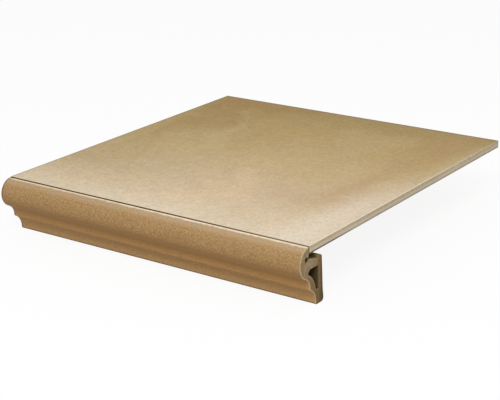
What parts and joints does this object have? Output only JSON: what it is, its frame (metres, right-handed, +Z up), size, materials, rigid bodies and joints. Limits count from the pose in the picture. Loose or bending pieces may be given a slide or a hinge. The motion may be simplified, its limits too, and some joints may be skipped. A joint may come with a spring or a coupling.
{
  "type": "stair tread tile",
  "caption": "Glued ceramic stair tread: a thin flat slab with a rounded, moulded nosing that covers the front edge of a step.",
  "frame": {"origin": "the step's front edge at mid width: on the underside of the slab, straight above the plane of the riser that the nosing reaches back to", "axes": "+X along the step's edge, +Y back into the step, +Z up out of the walked surface"},
  "size_m": [0.33, 0.3489, 0.0538],
  "materials": {
    "slab_ceramic": "satin",
    "nosing_ceramic": "satin",
    "adhesive": "matte"
  },
  "bodies": {
    "root": {"tread_slab": "slab_ceramic", "nosing_profile": "nosing_ceramic", "joint_adhesive": "adhesive"}
  },
  "joints": []
}
